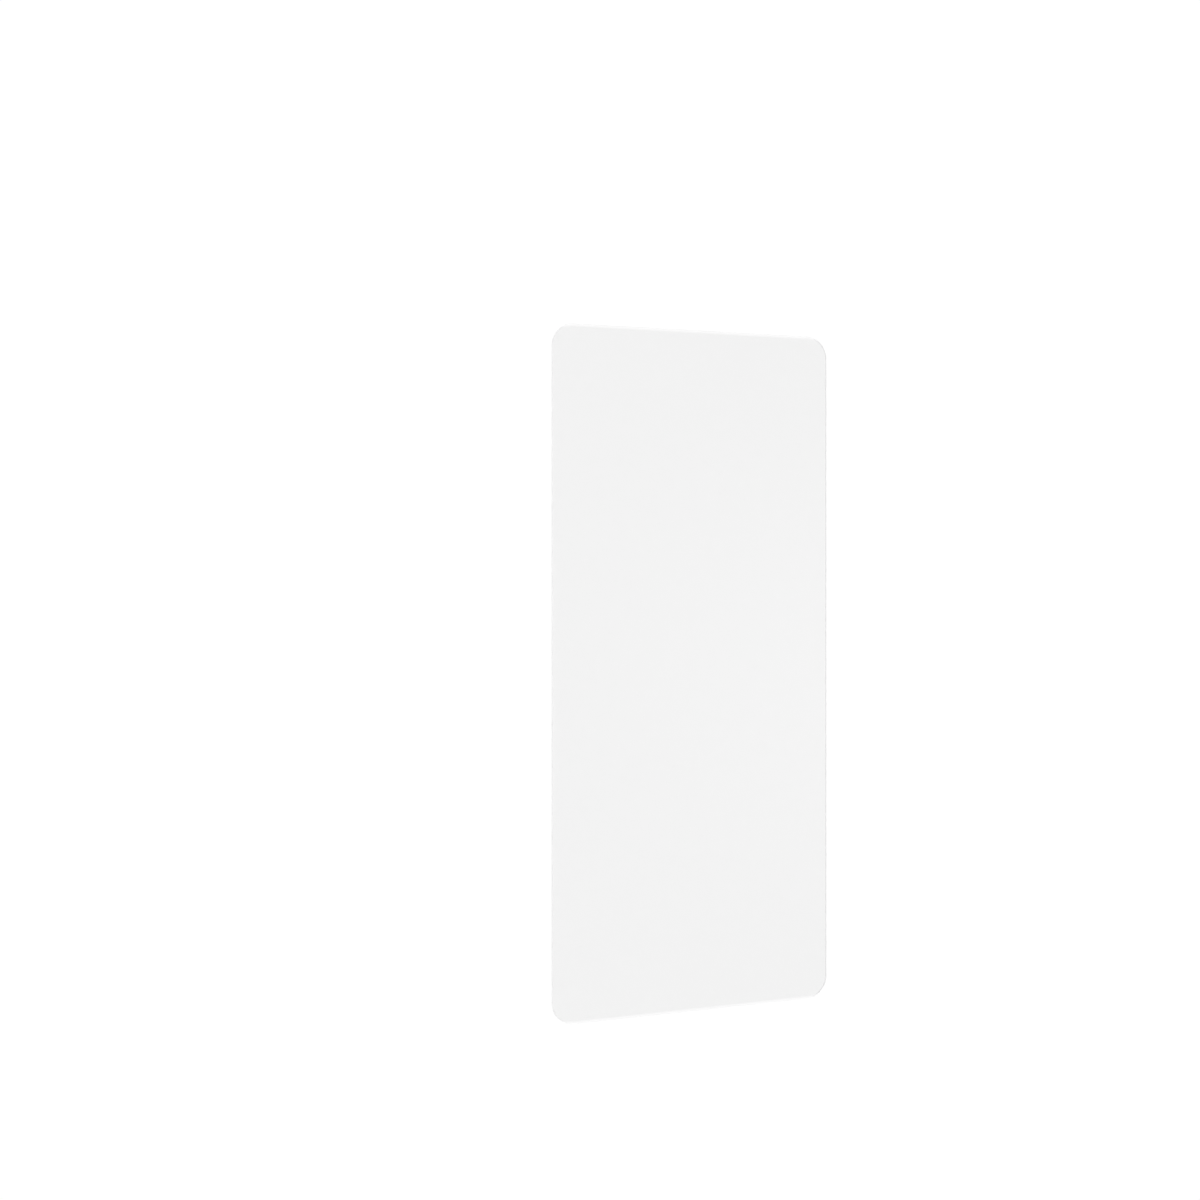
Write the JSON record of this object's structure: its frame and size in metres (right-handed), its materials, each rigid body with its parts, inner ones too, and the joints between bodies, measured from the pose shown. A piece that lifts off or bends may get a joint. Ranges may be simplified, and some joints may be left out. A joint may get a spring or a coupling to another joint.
{
  "type": "phone screen protector",
  "caption": "Clear toughened-glass sheet with rounded corners and a curved ground rim, laid over a phone's flat display to guard it from scratches.",
  "frame": {"origin": "middle of the underside, the side that sticks to the display", "axes": "+X along the short side, +Y along the long side, +Z out of the upper face"},
  "size_m": [0.0688, 0.155, 0.0003],
  "materials": {
    "clear_glass": "polished, with a ground and polished rim"
  },
  "bodies": {
    "root": {"glass_sheet": "clear_glass"}
  },
  "joints": []
}
